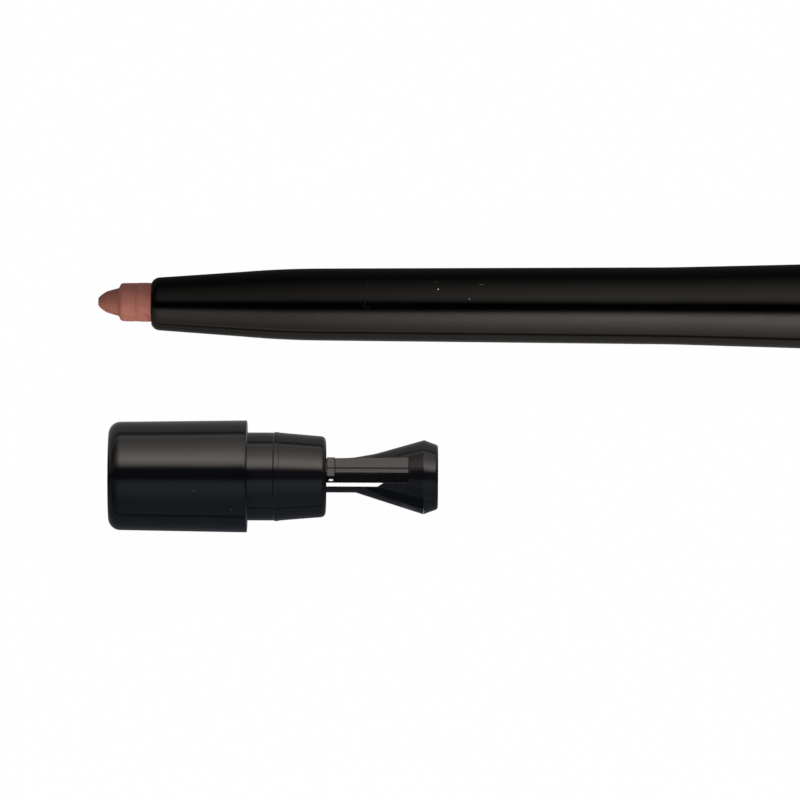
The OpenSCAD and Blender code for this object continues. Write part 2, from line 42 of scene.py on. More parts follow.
# The camera looks straight down from far above, turned a little in its own plane
CAMERA_HEIGHT = 2000 * MM
CAMERA_ROLL = math.radians(0.229)
CAMERA_CLIP = (0.01, 20)
SENSOR_WIDTH = 36.0

# The softboxes: their distance from the piece that is lit, their length, the angle of their middles from
# straight up and half the angle that they span, in degrees
BOX_DISTANCE = 220 * MM
BOX_LENGTH = 2400 * MM
BOX_ANGLE = 57
BOX_HALF_SPREAD = 52

# Degrees from straight up and the brightness there, for each piece's softboxes. The side that faces
# the other piece is the inner one. PENCIL_SIDE is a second box on the pencil's inner side.
PENCIL_INNER = (
    (10, 0.0), (14, 0.07), (18, 0.32), (24, 1.12), (30, 1.95), (38, 2.35), (44, 2.3), (54, 1.68),
    (66, 1.1), (78, 0.7), (90, 0.3), (97, 0.12), (101, 0.0),
)
PENCIL_SIDE = ((42, 0.0), (54, 0.18), (66, 0.27), (78, 0.27), (90, 0.32), (97, 0.2), (101, 0.0))
PENCIL_OUTER = (
    (1, 0.0), (6, 0.12), (12, 0.4), (18, 0.65), (26, 0.76), (38, 0.64), (54, 0.45), (66, 0.28),
    (78, 0.16), (88, 0.08), (92, 0.0),
)
PLUG_INNER = (
    (11, 0.0), (17, 0.2), (21, 1.0), (26, 2.1), (31, 2.85), (36, 3.1), (44, 2.7), (56, 1.85),
    (66, 1.33), (78, 0.95), (91, 0.72), (97, 0.5), (101, 0.1), (102, 0.0),
)
PLUG_OUTER = (
    (2, 0.0), (8, 0.17), (14, 0.35), (24, 0.42), (36, 0.35), (48, 0.26), (66, 0.21), (80, 0.22),
    (87, 0.24), (89.5, 0.04), (92, 0.04), (95, 0.18), (100, 0.15), (104, 0.13), (105, 0.0),
)
# Millimetres from a piece's axis and the brightness there, for the strips of floor that its gloss mirrors.
# Under the piece itself the floor is dark.
PENCIL_INNER_FLOOR = (
    (0, 0.0), (2.1, 0.0), (2.5, 0.15), (7.5, 0.165), (9.2, 0.195), (11, 0.23), (13.5, 0.29),
    (17, 0.31), (20, 0.28), (22.5, 0.26), (25.5, 0.07), (33, 0.03), (38, 0.09), (44, 0.22),
    (54, 0.5), (80, 0.5), (150, 0.5),
)
PENCIL_OUTER_FLOOR = ((0, 0.0), (2.1, 0.0), (2.5, 0.043), (150, 0.043))
PLUG_INNER_FLOOR = (
    (0, 0.0), (2.8, 0.0), (3.2, 0.255), (7, 0.265), (11, 0.285), (15, 0.315), (18, 0.34),
    (22, 0.37), (30, 0.28), (36, 0.16), (42, 0.06), (50, 0.16), (62, 0.41), (90, 0.6), (150, 0.7),
)
PLUG_OUTER_FLOOR = (
    (0, 0.0), (2.8, 0.0), (3.2, 0.115), (10, 0.115), (20, 0.135), (35, 0.15), (60, 0.18),
    (85, 0.18), (110, 0.043), (150, 0.043),
)
# How much higher each strip lies than the one before, and the size of a strip
STRIP_LIFT = 0.02 * MM
STRIP_HALF_LENGTH = 400 * MM
STRIP_WIDTH = 1500 * MM
# How the softboxes fade towards their ends: place along X in millimetres, and the share that is left
PENCIL_FADE = (
    (-700, 0.05), (-400, 0.15), (-200, 0.32), (-120, 0.38), (-60, 0.44), (-42, 0.6), (-34, 0.74),
    (-22, 0.88), (-8, 1.0),
)
PLUG_INNER_FADE = (
    (-420, 0.06), (-230, 0.17), (-140, 0.45), (-95, 0.72), (-62, 1.0), (90, 1.0), (190, 0.7),
    (320, 0.2), (600, 0.05),
)
PLUG_OUTER_FADE = (
    (-420, 0.25), (-230, 0.45), (-140, 0.7), (-95, 0.85), (-62, 1.0), (90, 1.0), (190, 0.7),
    (320, 0.2), (600, 0.05),
)
NO_FADE = ((-120, 1.0), (-8, 1.0))
# The tints of the softboxes and the strips
PENCIL_WARM = (1.0, 0.895, 0.81)
PENCIL_PALE = (1.0, 0.94, 0.87)
PLUG_WARM = (1.0, 0.91, 0.85)
PLUG_PALE = (0.97, 0.96, 1.0)
PLUG_COOL = (0.8, 0.86, 1.0)

# Dust on the gloss, by its pixels in the photograph. Crumbs and specks have their radii too, in millimetres.
BARREL_HAIR = (
    (366.5, 300.9), (365.7, 302.7), (364.6, 304.6), (363.7, 306.3), (363.5, 307.1), (364.5, 307.4),
    (366.3, 306.8), (368.1, 306.6), (369.6, 307.8), (370.6, 309.6), (370.9, 311.4),
)
BARREL_CRUMBS = (((438.3, 289.3), 0.066), ((469.2, 299.0), 0.038))
BARREL_SPECKS = (((436.6, 282.1), 0.05), ((486.5, 293.3), 0.035), ((367.5, 286.2), 0.05))
BARREL_SCUFF = ((479.0, 285.1), (481.4, 284.9), (483.8, 284.7))
PLUG_CRUMBS = (((194.2, 490.5), 0.05), ((306.5, 453.5), 0.04))
HAIR_RADIUS = 0.022
SCUFF_RADIUS = 0.035
# How pale each kind of dust is, from 0 for black to 1 for white
HAIR_PALENESS = 0.035
SPECK_PALENESS = 0.12
BARREL_CRUMB_PALENESS = 0.95
PLUG_CRUMB_PALENESS = 0.25
# The dust's meshes. A crumb's height is a share of its radius, and so are the radius that a thread has
# at its ends and the height of its middle.
FIBRE_SIDES = 6
CRUMB_SIDES = 10
CRUMB_RINGS = 4
CRUMB_HEIGHT = 0.7
FIBRE_ENDS = 0.45
FIBRE_LIFT = 0.6

# The studio: a floor and a backdrop that show white, two very soft lights and a dim ceiling
FLOOR_SIZE = 12.0
BACKDROP_RADIUS = 5.8
BACKDROP_HEIGHT = 0.5
BACKDROP_SIDES = 64
PAPER_COLOUR = (0.5, 0.5, 0.5, 1)
FLOOR_OWN_WHITE = 0.985
FLOOR_LIGHT = 4.5
FILL_LIGHT = 1.12
FILL_TILT = math.radians(50)
LIGHT_SOFTNESS = math.radians(110)
CEILING = (0.01, 0.01, 0.01, 1)

# The materials' colours
BARREL_BLACK = (0.0003, 0.0003, 0.0003, 1)
CAP_BLACK = (0.0035, 0.004, 0.0056, 1)
COLLAR_BLACK = (0.0055, 0.0058, 0.0073, 1)
FINE_DUST = (0.12, 0.115, 0.11, 1)
SMOKE_DARK = (0.0045, 0.0054, 0.0068, 1)
SMOKE_PALE = (0.009, 0.0104, 0.0128, 1)
WAX_TIP = (0.31, 0.112, 0.075, 1)
WAX_SHAFT = (0.385, 0.138, 0.105, 1)
WAX_SMEARED = (0.43, 0.17, 0.135, 1)
# Painted shade in the lead's crease
WAX_CREASE_SHADE = (0.22, 0.08, 0.06, 1)
# Painted shade in the lead's chips
WAX_CHIP_SHADE = (0.09, 0.035, 0.028, 1)
MOULDING_CLEAN = (0.82, 0.80, 0.73, 1)
MOULDING_GREASY = (0.74, 0.71, 0.62, 1)
RUBBER_DARK = (0.012, 0.012, 0.013, 1)
RUBBER_PALE = (0.03, 0.03, 0.031, 1)
STEEL_DARK = (0.45, 0.45, 0.47, 1)
STEEL_BRIGHT = (0.62, 0.62, 0.64, 1)
PLASTIC_IOR = 1.45
WAX_IOR = 1.42
# Millimetres from the lead's tip between which its colour changes, and how far round the crease the painted
# shade reaches
WAX_CHANGE = (2.1, 2.35)
CREASE_SHADE_REACH = 0.35
SHARPENER_EDGE = 0.08
BEVEL_SAMPLES = 6
# The polished black pieces: material, colour, least roughness, seed of the dust, the radius in millimetres
# that the edges are shaded to, and node
BLACKS = (
    ("barrel_black", BARREL_BLACK, 0.05, 0.0, 0.3, "front_barrel"),
    ("sleeve_black", BARREL_BLACK, 0.05, 3.0, 0.05, "turning_sleeve"),
    ("cap_black", CAP_BLACK, 0.05, 5.0, 0.45, "end_cap"),
    ("collar_black", COLLAR_BLACK, 0.06, 9.0, 0.05, "plug_collar"),
)

PENCIL_NODES = (
    "front_barrel",
    "turning_sleeve",
    "guide_tube",
    "drag_ring",
    "clip_ring",
    "lead_cup",
    "piston_ring",
    "push_rod",
    "spiral_sleeve",
)
# The nodes that the barrel and the sleeve enclose
INNER_NODES = PENCIL_NODES[2:]
PLUG_NODES = ("end_cap", "plug_collar", "sharpener")

# The lead's mesh: its sides, the spacing of its rings and how far from the tip they go on, in millimetres
LEAD_SEGMENTS = 144
FINE_STEP = 0.06
FINE_LENGTH = 6.4
# The CAD lead in millimetres: how far its end rings reach along X, and the least way between its rings
TIP_RING = 0.05
TAIL_RING = 0.15
RING_STEP = 0.02
# Millimetres behind the mouth where the CAD lead's own outline takes over
HIDDEN_FROM = 0.3
# The wear grows over this length at the tip, and fades from before the mouth to behind it, in millimetres
WEAR_START = 0.25
WEAR_END = (0.1, 0.6)
# Distance from the tip and radius of the part that stands out, worn blunt and a little swollen
OUTSIDE = (
    (0.0, 0.0), (0.08, 0.0), (0.085, 0.2), (0.1, 0.32), (0.133, 0.413), (0.23, 0.508), (0.42, 0.684),
    (0.61, 0.821), (0.8, 0.945), (1.0, 1.034), (1.2, 1.098), (1.56, 1.201), (1.94, 1.3), (2.04, 1.335),
    (2.09, 1.4), (2.2, 1.64), (2.28, 1.75), (2.42, 1.81), (2.8, 1.835), (4.9, 1.86),
)
# The wax's grain, dents and streaks: how fine they are along the lead, and their depths in millimetres
GRAIN_SCALE = 3.1
DENT_SCALE = 0.95
STREAK_SCALE = 5.0
GRAIN_DEPTH = 0.008
DENT_DEPTH = 0.035
STREAK_DEPTH = 0.006
# The crease round the lead: distance from the tip, half width, depth and wander, in millimetres
CREASE_AT = 3.65
CREASE_WIDTH = 0.1
CREASE_DEPTH = 0.06
CREASE_WANDER = 0.12
# Degrees round the lead over which the streaks, the crease's wander and its depth change
STREAK_TURN = 40
WANDER_TURN = 35
BITE_TURN = 25
# The radius in millimetres at which the chips' places round the lead are measured
CHIP_RING = 1.7
# How uneven the chips' rims are, and how finely
CHIP_UNEVEN = 0.4
CHIP_SCALE = 9
# Small chips: distance from the tip, degrees round the lead from straight up to the plug's side,
# radius and depth
CHIPS = (
    (4.75, 42, 0.11, 0.09),
    (4.93, 52, 0.09, 0.08),
    (4.62, 34, 0.06, 0.05),
    (3.9, 28, 0.07, 0.04),
    (2.9, 70, 0.08, 0.05),
    (3.3, 205, 0.12, 0.07),
    (4.3, 265, 0.1, 0.06),
)


class NodeTree:
    """A node tree, with a short call that fills a socket."""

    def __init__(self, tree):
        self.tree = tree

    def put(self, socket, value):
        if isinstance(value, bpy.types.NodeSocket):
            self.tree.links.new(value, socket)
        else:
            socket.default_value = value


class Shader(NodeTree):
    """A material's nodes, with short calls for those that the materials here share."""

    def __init__(self, name):
        self.material = bpy.data.materials.new(name)
        self.material.use_nodes = True
        super().__init__(self.material.node_tree)
        self.bsdf = self.tree.nodes["Principled BSDF"]

    def node(self, kind, inputs=None, **settings):
        made = self.tree.nodes.new(kind)
        for key, value in settings.items():
            setattr(made, key, value)
        for key, value in (inputs or {}).items():
            self.put(made.inputs[key], value)
        return made

    def set(self, **inputs):
        """Sets the shader's own sockets, by names with underscores for spaces."""
        for key, value in inputs.items():
            self.put(self.bsdf.inputs[key.replace("_", " ")], value)

    def millimetres(self, stretch=(1, 1, 1)):
        """The object's own coordinates in millimetres, stretched along its axes."""
        place = self.node("ShaderNodeTexCoord").outputs["Object"]
        scale = tuple(1 / MM / s for s in stretch)
        return self.node("ShaderNodeMapping", {"Vector": place, "Scale": scale}).outputs["Vector"]

    def noise(self, at, scale, detail=3.0, roughness=0.5, distortion=0.0):
        inputs = {
            "Vector": at,
            "Scale": scale,
            "Detail": detail,
            "Roughness": roughness,
            "Distortion": distortion,
        }
        return self.node("ShaderNodeTexNoise", inputs).outputs["Fac"]

    def remap(self, value, low, high, to_low, to_high):
        """Takes the stretch from low to high to the stretch from to_low to to_high, and clamps it."""
        inputs = {"Value": value, 1: low, 2: high, 3: to_low, 4: to_high}
        return self.node("ShaderNodeMapRange", inputs).outputs["Result"]

    def maths(self, operation, a, b=0.0):
        return self.node("ShaderNodeMath", {0: a, 1: b}, operation=operation).outputs["Value"]

    def mix(self, factor, a, b):
        made = self.node("ShaderNodeMix", data_type="RGBA")
        self.put(made.inputs["Factor"], factor)
        self.put(made.inputs["A"], a)
        self.put(made.inputs["B"], b)
        return made.outputs["Result"]

    def bump(self, height, distance, normal=None):
        inputs = {"Height": height, "Distance": distance, "Strength": 1.0}
        if normal is not None:
            inputs["Normal"] = normal
        return self.node("ShaderNodeBump", inputs).outputs["Normal"]

    def soft_edges(self, radius):
        """Normals that round the moulded edges off."""
        return self.node("ShaderNodeBevel", {"Radius": radius}, samples=BEVEL_SAMPLES).outputs["Normal"]


def specks(shader, cell, radius, share, seed):
    """A mask of small round specks: about one in every cell of that size, of which a share shows."""
    place = shader.millimetres()
    moved = shader.node("ShaderNodeVectorMath", {0: place, 1: (seed, seed / 2, -seed)}, operation="ADD")
    cells = shader.node("ShaderNodeTexVoronoi", {"Vector": moved.outputs[0], "Scale": 1 / cell})
    near = shader.remap(cells.outputs["Distance"], radius / cell, radius / cell * 0.6, 0, 1)
    pick = shader.node("ShaderNodeSeparateColor", {"Color": cells.outputs["Color"]}).outputs["Red"]
    shown = shader.maths("LESS_THAN", pick, share)
    return shader.maths("MULTIPLY", near, shown)


def polished_black(name, colour, gloss, seed, edge):
    """Polished black plastic with faint handling haze, hairlines along its length and a little dust."""
    s = Shader(name)
    haze = s.noise(s.millimetres((4, 1, 1)), scale=0.35, detail=4.0, roughness=0.6)
    hairs = s.noise(s.millimetres((60, 1, 1)), scale=9.0, detail=2.0)
    coarse = specks(s, cell=2.6, radius=0.06, share=0.35, seed=seed)
    fine = specks(s, cell=1.1, radius=0.035, share=0.3, seed=seed + 7)
    dirt = s.maths("MAXIMUM", coarse, s.maths("MULTIPLY", fine, 0.5))
    rough = s.remap(haze, 0.35, 0.75, gloss, gloss + 0.04)
    rough = s.maths("ADD", rough, s.remap(hairs, 0.6, 0.8, 0, 0.03))
    rough = s.maths("ADD", rough, s.maths("MULTIPLY", dirt, 0.5))
    ripple = s.noise(s.millimetres((6, 1, 1)), scale=0.5, detail=2.0)
    normal = s.bump(ripple, 0.008 * MM, s.soft_edges(edge * MM))
    normal = s.bump(hairs, 0.0004 * MM, normal)
    normal = s.bump(dirt, 0.015 * MM, normal)
    s.set(
        Base_Color=s.mix(dirt, colour, FINE_DUST),
        Roughness=rough,
        IOR=PLASTIC_IOR,
        Normal=normal,
    )
    return s.material


def smoky_clear(name):
    """Smoky, hardly see-through plastic with flow marks and a slightly rough moulded skin."""
    s = Shader(name)
    flow = s.noise(s.millimetres((3, 1, 1)), scale=0.9, detail=4.0, roughness=0.6, distortion=0.4)
    skin = s.noise(s.millimetres(), scale=14.0, detail=2.0)
    normal = s.bump(flow, 0.01 * MM, s.soft_edges(SHARPENER_EDGE * MM))
    s.set(
        Base_Color=s.mix(flow, SMOKE_DARK, SMOKE_PALE),
        Roughness=s.remap(skin, 0.3, 0.8, 0.07, 0.15),
        IOR=PLASTIC_IOR,
        Transmission_Weight=0.35,
        Normal=s.bump(skin, 0.001 * MM, normal),
    )
    return s.material


def gel_wax(name, tip, axis):
    """Soft waxy gel: satin, smeared, with a browner tip, and with shade painted into its chips and round its
    crease.
    """
    s = Shader(name)
    place = s.node("ShaderNodeTexCoord").outputs["Object"]
    from_tip = s.node("ShaderNodeVectorMath", {0: place, 1: tip}, operation="SUBTRACT").outputs[0]
    dot = s.node("ShaderNodeVectorMath", {0: from_tip, 1: axis}, operation="DOT_PRODUCT")
    along = s.maths("DIVIDE", dot.outputs["Value"], MM)
    stretched = s.millimetres((0.6, 1.3, 1.3))
    smear = s.noise(stretched, scale=1.4, detail=5.0, roughness=0.6, distortion=0.3)
    grain = s.noise(s.millimetres(), scale=10.0, detail=4.0, roughness=0.6)
    to_shaft = s.remap(s.maths("ADD", along, s.maths("MULTIPLY", smear, 0.3)), *WAX_CHANGE, 0, 1)
    colour = s.mix(to_shaft, WAX_TIP, WAX_SHAFT)
    colour = s.mix(s.remap(smear, 0.4, 0.75, 0, 0.5), colour, WAX_SMEARED)
    # Painted shade round the crease, unevenly strong
    off = s.maths("ABSOLUTE", s.maths("SUBTRACT", along, CREASE_AT))
    crease = s.remap(off, CREASE_SHADE_REACH, 0.0, 0, 1)
    crease_shade = s.maths("MULTIPLY", crease, s.remap(smear, 0.35, 0.65, 0.7, 0.15))
    colour = s.mix(crease_shade, colour, WAX_CREASE_SHADE)
    # Painted shade in the chips
    chip_shade_mask = s.node("ShaderNodeAttribute", attribute_name="chip_shade").outputs["Fac"]
    colour = s.mix(s.maths("MULTIPLY", chip_shade_mask, 0.75), colour, WAX_CHIP_SHADE)
    s.set(
        Base_Color=colour,
        Roughness=s.remap(grain, 0.3, 0.7, 0.45, 0.6),
        IOR=WAX_IOR,
        Subsurface_Weight=0.15,
        Subsurface_Radius=(1.0, 0.45, 0.35),
        Subsurface_Scale=0.2 * MM,
        Normal=s.bump(grain, 0.006 * MM, s.bump(smear, 0.03 * MM)),
    )
    return s.material


def natural_moulding(name):
    """Uncoloured bearing plastic with a fine moulded skin and faint grease."""
    s = Shader(name)
    skin = s.noise(s.millimetres(), scale=9.0, detail=4.0)
    grease = s.noise(s.millimetres((3, 1, 1)), scale=0.5, detail=3.0)
    s.set(
        Base_Color=s.mix(grease, MOULDING_CLEAN, MOULDING_GREASY),
        Roughness=s.remap(grease, 0.4, 0.65, 0.5, 0.25),
        Subsurface_Weight=0.15,
        Subsurface_Scale=0.4 * MM,
        Normal=s.bump(skin, 0.004 * MM),
    )
    return s.material


def soft_rubber(name):
    """Black rubber with a fine matt grain."""
    s = Shader(name)
    grain = s.noise(s.millimetres(), scale=20.0, detail=3.0)
    s.set(
        Base_Color=s.mix(grain, RUBBER_DARK, RUBBER_PALE),
        Roughness=s.remap(grain, 0.3, 0.7, 0.55, 0.75),
        Normal=s.bump(grain, 0.004 * MM),
    )
    return s.material


def spring_steel(name):
    """Bright spring wire steel, brushed along its length."""
    s = Shader(name)
    brush = s.noise(s.millimetres((1, 8, 8)), scale=12.0, detail=3.0)
    s.set(
        Base_Color=s.mix(brush, STEEL_DARK, STEEL_BRIGHT),
        Metallic=1.0,
        Roughness=s.remap(brush, 0.3, 0.7, 0.22, 0.4),
        Normal=s.bump(brush, 0.002 * MM),
    )
    return s.material


def studio_white(name, own_white):
    """Matt paper, of which that share is plain white to the camera, to gloss and through clear plastic."""
    s = Shader(name)
    s.set(Base_Color=PAPER_COLOUR, Roughness=0.9, Specular_IOR_Level=0.0)
    path = s.node("ShaderNodeLightPath").outputs
    seen = s.maths("MAXIMUM", path["Is Camera Ray"], path["Is Glossy Ray"])
    seen = s.maths("MAXIMUM", seen, path["Is Transmission Ray"])
    white = s.node("ShaderNodeEmission", {"Strength": 1.0})
    share = s.maths("MULTIPLY", seen, own_white)
    mixed = s.node("ShaderNodeMixShader", {0: share, 1: s.bsdf.outputs[0], 2: white.outputs[0]})
    s.put(s.tree.nodes["Material Output"].inputs["Surface"], mixed.outputs[0])
    s.material.cycles.emission_sampling = "NONE"
    return s.material


def dust_grey(name, pale):
    """Dust of that paleness, a little uneven and warm."""
    s = Shader(name)
    blotch = s.noise(s.millimetres(), scale=3.0, detail=2.0)
    light = (pale, 0.96 * pale, 0.9 * pale, 1)
    dark = (pale / 2, pale / 2.1, pale / 2.2, 1)
    s.set(
        Base_Color=s.mix(blotch, light, dark),
        Roughness=0.8,
        Specular_IOR_Level=0.1,
    )
    return s.material


def placed(name, data):
    """A new object of that mesh, lamp or camera, in the scene."""
    made = bpy.data.objects.new(name, data)
    bpy.context.scene.collection.objects.link(made)
    return made


def dress(nodes, material, names):
    """Gives CAD nodes a material."""
    for name in names:
        mesh = nodes[name].data
        mesh.materials.clear()
        mesh.materials.append(material)


def ring_centre(points):
    """The middle of a ring of points, each counted once."""
    once = {tuple(round(c / MM, 3) for c in p): p for p in points}
    return sum(once.values(), Vector()) / len(once)


def lead_axis(node):
    """The lead's tip and the way from there to its tail, from the CAD node's first and last rings."""
    low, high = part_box(node.name)
    points = [v.co.copy() for v in node.data.vertices]
    tip = ring_centre([p for p in points if p.x < low.x + TIP_RING * MM])
    tail = ring_centre([p for p in points if p.x > high.x - TAIL_RING * MM])
    return tip, (tail - tip).normalized()


def lead_outline(node, tip, axis):
    """Distance from the tip and radius of each ring of the CAD node."""
    rings = {}
    for vertex in node.data.vertices:
        offset = vertex.co - tip
        at = offset.dot(axis)
        rings.setdefault(round(at / MM / RING_STEP), []).append((at, (offset - axis * at).length))
    return [max(rings[key], key=lambda ring: ring[1]) for key in sorted(rings)]


def radius_at(outline, at):
    for (a, ra), (b, rb) in zip(outline, outline[1:]):
        if at <= b:
            return ra + (rb - ra) * max(0.0, at - a) / max(b - a, 1e-9)
    return outline[-1][1]


def smooth(value, low, high):
    t = min(1.0, max(0.0, (value - low) / (high - low)))
    return t * t * (3 - 2 * t)


def wear(at, degrees, place):
    """How deep the wax is worn there, and how much shade is painted into its chips. Distances are in
    millimetres.
    """
    grain = noise.noise(place * GRAIN_SCALE)
    dents = max(0.0, noise.noise(place * DENT_SCALE + Vector((7, 0, 0))))
    streaks = noise.noise(Vector((at * STREAK_SCALE, degrees / STREAK_TURN, 3.0)))
    depth = GRAIN_DEPTH * grain + DENT_DEPTH * dents + STREAK_DEPTH * streaks
    wander = CREASE_WANDER * noise.noise(Vector((degrees / WANDER_TURN, 1.7, 0.3)))
    bite = 0.5 + 0.5 * noise.noise(Vector((degrees / BITE_TURN, 9.1, 4.2)))
    depth += CREASE_DEPTH * bite * math.exp(-(((at - CREASE_AT - wander) / CREASE_WIDTH) ** 2))
    chip_shade = 0.0
    for chip_at, chip_degrees, radius, chip_depth in CHIPS:
        turn = (degrees - chip_degrees + HALF_TURN) % (2 * HALF_TURN) - HALF_TURN
        round_by = math.radians(turn) * CHIP_RING
        off = math.hypot(at - chip_at, round_by) / radius
        off *= 1 + CHIP_UNEVEN * noise.noise(place * CHIP_SCALE)
        # Where the chips lie, for the shade painted into them
        chip_shade = max(chip_shade, 1 - smooth(off, 0.5, 1.1))
        depth += chip_depth * (1 - smooth(off, 0.3, 1.1))
    return depth, chip_shade


def lead_stations(outline):
    """How far from the tip the worn lead's rings lie: at the outline's own places and fine steps between."""
    stations = [at for at, _ in outline]
    stations += [i * FINE_STEP for i in range(int(FINE_LENGTH / FINE_STEP))]
    stations.sort()
    kept = [stations[0]]
    for station in stations[1:]:
        # Of places that nearly coincide, one is kept
        if station - kept[-1] > FINE_STEP / 4:
            kept.append(station)
    if kept[-1] < stations[-1]:
        kept.append(stations[-1])
    return kept


def lead_faces(rings):
    """The faces of a body whose corners are a first point, rings of corners and a last point."""
    n = LEAD_SEGMENTS
    last = 1 + (rings - 1) * n
    faces = [(0, 1 + (i + 1) % n, 1 + i) for i in range(n)]
    for a in range(1, last, n):
        faces += [(a + i, a + (i + 1) % n, a + n + (i + 1) % n, a + n + i) for i in range(n)]
    faces += [(last + i, last + (i + 1) % n, last + n) for i in range(n)]
    return faces


def worn_lead(node, mouth_x):
    """The lead with real dents, a crease and chips outside, and the CAD node's outline inside the barrel."""
    tip, axis = lead_axis(node)
    out = (mouth_x - tip.x) / axis.x / MM
    hidden = [(at / MM, r / MM) for at, r in lead_outline(node, tip, axis) if at / MM > out + HIDDEN_FROM]
    outline = [*OUTSIDE, *hidden]
    stations = lead_stations(outline)
    up = (Vector((0, 0, 1)) - axis * axis.z).normalized()
    side = axis.cross(up)
    points = [tip]
    chips = [0.0]
    for station in stations:
        r = radius_at(outline, station)
        guard = 1 - smooth(station, out - WEAR_END[0], out + WEAR_END[1])
        edge = smooth(station, 0.0, WEAR_START)
        for i in range(LEAD_SEGMENTS):
            degrees = 360 * i / LEAD_SEGMENTS
            turn = math.radians(degrees)
            way = up * math.cos(turn) + side * math.sin(turn)
            at = tip + axis * (station * MM)
            depth, chip_shade = wear(station, degrees, at / MM + way * r)
            points.append(at + way * (max(r - depth * guard * edge, 0.0) * MM))
            chips.append(chip_shade * guard)
    points.append(tip + axis * (stations[-1] * MM))
    chips.append(0.0)
    mesh = bpy.data.meshes.new("gel_lead_worn")
    mesh.from_pydata([tuple(p) for p in points], [], lead_faces(len(stations)))
    # The chips' mask, for the shade painted into them
    mesh.attributes.new("chip_shade", "FLOAT", "POINT").data.foreach_set("value", chips)
    mesh.shade_smooth()
    mesh.materials.append(gel_wax("gel_wax", tip, axis))
    lead = placed("gel_lead_worn", mesh)
    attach(lead, "carrier")
    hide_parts("gel_lead")
    return lead


def surface_under(node):
    """Finds the point and the outward way of a node's surface under a place seen from above."""
    mesh = node.data
    tree = BVHTree.FromPolygons([v.co for v in mesh.vertices], [p.vertices for p in mesh.polygons])

    def hit(x, y):
        point, way, _, _ = tree.ray_cast(Vector((x, y, 1.0)), Vector((0, 0, -1)))
        return point, way

    return hit


def fibre(points, ways, radius):
    """Corners and faces of a fine thread that lies along the points, thinning to its ends."""
    sides = FIBRE_SIDES
    corners, faces = [], []
    for i, point in enumerate(points):
        along = (points[min(i + 1, len(points) - 1)] - points[max(i - 1, 0)]).normalized()
        across = along.cross(ways[i]).normalized()
        bulge = math.sin(math.pi * (i + 0.5) / len(points))
        thick = radius * (FIBRE_ENDS + (1 - FIBRE_ENDS) * bulge)
        for k in range(sides):
            turn = 2 * math.pi * k / sides
            lifted = ways[i] * (thick * (FIBRE_LIFT + math.sin(turn)))
            corners.append(point + across * (thick * math.cos(turn)) + lifted)
    for i in range(len(points) - 1):
        for k in range(sides):
            a, b = i * sides + k, i * sides + (k + 1) % sides
            faces.append((a, a + sides, b + sides, b))
    faces += [tuple(range(sides)), tuple(reversed(range(len(corners) - sides, len(corners))))]
    return corners, faces


def crumb(point, way, radius, seed):
    """Corners and faces of a tiny uneven lump that sits on a surface."""
    sides, rings = CRUMB_SIDES, CRUMB_RINGS
    across = way.orthogonal().normalized()
    other = way.cross(across)
    corners = [point + way * (CRUMB_HEIGHT * radius)]
    faces = []
    for j in range(1, rings + 1):
        tilt = math.pi / 2 * j / rings
        for k in range(sides):
            turn = 2 * math.pi * k / sides
            rough = 1 + 0.3 * noise.noise(Vector((seed, 2 * math.cos(turn), 2 * math.sin(turn))))
            flat = (across * math.cos(turn) + other * math.sin(turn)) * (radius * math.sin(tilt) * rough)
            corners.append(point + flat + way * (CRUMB_HEIGHT * radius * math.cos(tilt)))
    faces += [(0, 1 + k, 1 + (k + 1) % sides) for k in range(sides)]
    for j in range(rings - 1):
        a = 1 + j * sides
        b = a + sides
        faces += [(a + k, b + k, b + (k + 1) % sides, a + (k + 1) % sides) for k in range(sides)]
    faces.append(tuple(reversed(range(1 + (rings - 1) * sides, 1 + rings * sides))))
    return corners, faces


def dust(name, body, hosts, to_world, pale, fibres, crumbs):
    """The threads and crumbs that lie on some nodes, as one piece that rides their body."""
    surfaces = [surface_under(host) for host in hosts]

    def top(px):
        place = to_world(px)
        hits = [hit(place.x, place.y) for hit in surfaces]
        return max((h for h in hits if h[0] is not None), key=lambda h: h[0].z)

    corners, faces = [], []
    parts = [fibre(*zip(*[top(px) for px in path]), radius * MM) for path, radius in fibres]
    parts += [crumb(*top(px), radius * MM, i) for i, (px, radius) in enumerate(crumbs)]
    for part_corners, part_faces in parts:
        start = len(corners)
        corners += part_corners
        faces += [tuple(start + c for c in face) for face in part_faces]
    mesh = bpy.data.meshes.new(name)
    mesh.from_pydata([tuple(c) for c in corners], [], faces)
    mesh.shade_smooth()
    mesh.materials.append(dust_grey(name, pale))
    made = placed(name, mesh)
    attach(made, body)
    return made


def group_of(name, objects):
    """A collection for a lamp to light, or to be shaded by."""
    group = bpy.data.collections.new(name)
    for each in objects:
        group.objects.link(each)
    return group


class GlowTree(NodeTree):
    """Nodes that set a brightness by the place in the studio."""

    def __init__(self, tree):
        super().__init__(tree)
        place = tree.nodes.new("ShaderNodeNewGeometry").outputs["Position"]
        self.x, self.y, self.z = (self.maths("DIVIDE", part, MM) for part in self.parts(place))

    def parts(self, vector):
        made = self.tree.nodes.new("ShaderNodeSeparateXYZ")
        self.put(made.inputs[0], vector)
        return list(made.outputs)

    def maths(self, operation, a, b=0.0, clamp=False):
        made = self.tree.nodes.new("ShaderNodeMath")
        made.operation = operation
        made.use_clamp = clamp
        self.put(made.inputs[0], a)
        self.put(made.inputs[1], b)
        return made.outputs[0]

    def curve(self, value, stops):
        """Reads a brightness off a smooth line through the stops."""
        low, high = stops[0][0], stops[-1][0]
        share = self.maths("DIVIDE", self.maths("SUBTRACT", value, low), high - low, clamp=True)
        made = self.tree.nodes.new("ShaderNodeFloatCurve")
        line = made.mapping.curves[0]
        top = max(level for _, level in stops)
        while len(line.points) < len(stops):
            line.points.new(0.5, 0.5)
        for point, (at, level) in zip(line.points, stops):
            point.location = ((at - low) / (high - low), level / top)
            point.handle_type = "AUTO_CLAMPED"
        made.mapping.update()
        self.put(made.inputs["Value"], share)
        return self.maths("MULTIPLY", made.outputs[0], top)


